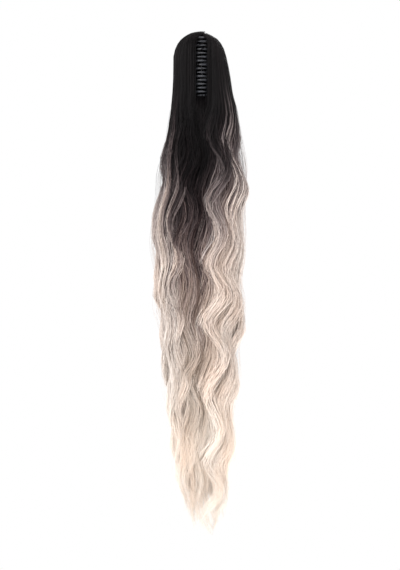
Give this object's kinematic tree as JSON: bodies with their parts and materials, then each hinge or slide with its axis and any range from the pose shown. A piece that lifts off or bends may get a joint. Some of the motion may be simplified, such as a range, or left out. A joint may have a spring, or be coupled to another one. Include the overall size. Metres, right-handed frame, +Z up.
{
  "type": "ponytail hairpiece",
  "caption": "Long wavy ponytail hairpiece on a hidden spring claw clip, its hair going from near black at the clip through ash grey to cream at the tips.",
  "frame": {"origin": "middle of the space that the two comb jaws grip, where the wearer's gathered hair passes", "axes": "+Z up along the hinge and against the hanging hair, -Y towards the head, +X to the right jaw as seen from the head side"},
  "size_m": [0.1251, 0.0822, 0.6605],
  "materials": {
    "clip_plastic": "moulded, glossy black",
    "steel": "drawn wire, plain",
    "hair_dark": "synthetic hair fibre, near black, soft sheen",
    "hair_ash": "synthetic hair fibre, near black to ash grey to cream, soft sheen"
  },
  "bodies": {
    "clip_left": {"jaw_left": "clip_plastic", "hinge_pin": "steel", "spring": "steel", "crown_left": "hair_dark", "fall_left": "hair_ash", "fall_right": "hair_ash"},
    "clip_right": {"jaw_right": "clip_plastic", "crown_right": "hair_dark"}
  },
  "joints": [
    {"name": "clip_hinge", "type": "hinge", "parent": "clip_left", "child": "clip_right", "pos_m": [0, 0.01832, 0], "axis": [0, 0, 1], "range_deg": [0, 40], "stiffness_Nm_per_rad": 0.08, "springref_deg": -28.65, "deforming": ["spring"]}
  ]
}
